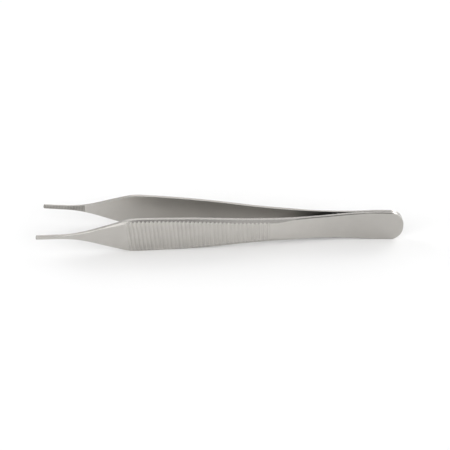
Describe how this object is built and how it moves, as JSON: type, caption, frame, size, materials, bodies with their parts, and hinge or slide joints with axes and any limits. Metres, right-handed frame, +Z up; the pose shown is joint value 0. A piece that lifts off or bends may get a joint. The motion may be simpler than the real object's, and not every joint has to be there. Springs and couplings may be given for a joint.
{
  "type": "thumb forceps",
  "caption": "Slim spring forceps of two welded steel leaves, with a ribbed finger grip, narrow jaws and fine cross teeth for holding tissue or dressings.",
  "frame": {"origin": "bottom centre of the box around the forceps as they lie on their lower long edges", "axes": "+X along the length from the tips to the heel, +Y across the opening from the left leaf to the right leaf, +Z up across the width of the leaves"},
  "size_m": [0.12, 0.0218, 0.0115],
  "materials": {
    "satin_steel": "satin"
  },
  "bodies": {
    "root": {"left_leaf": "satin_steel", "right_leaf": "satin_steel"}
  },
  "joints": []
}
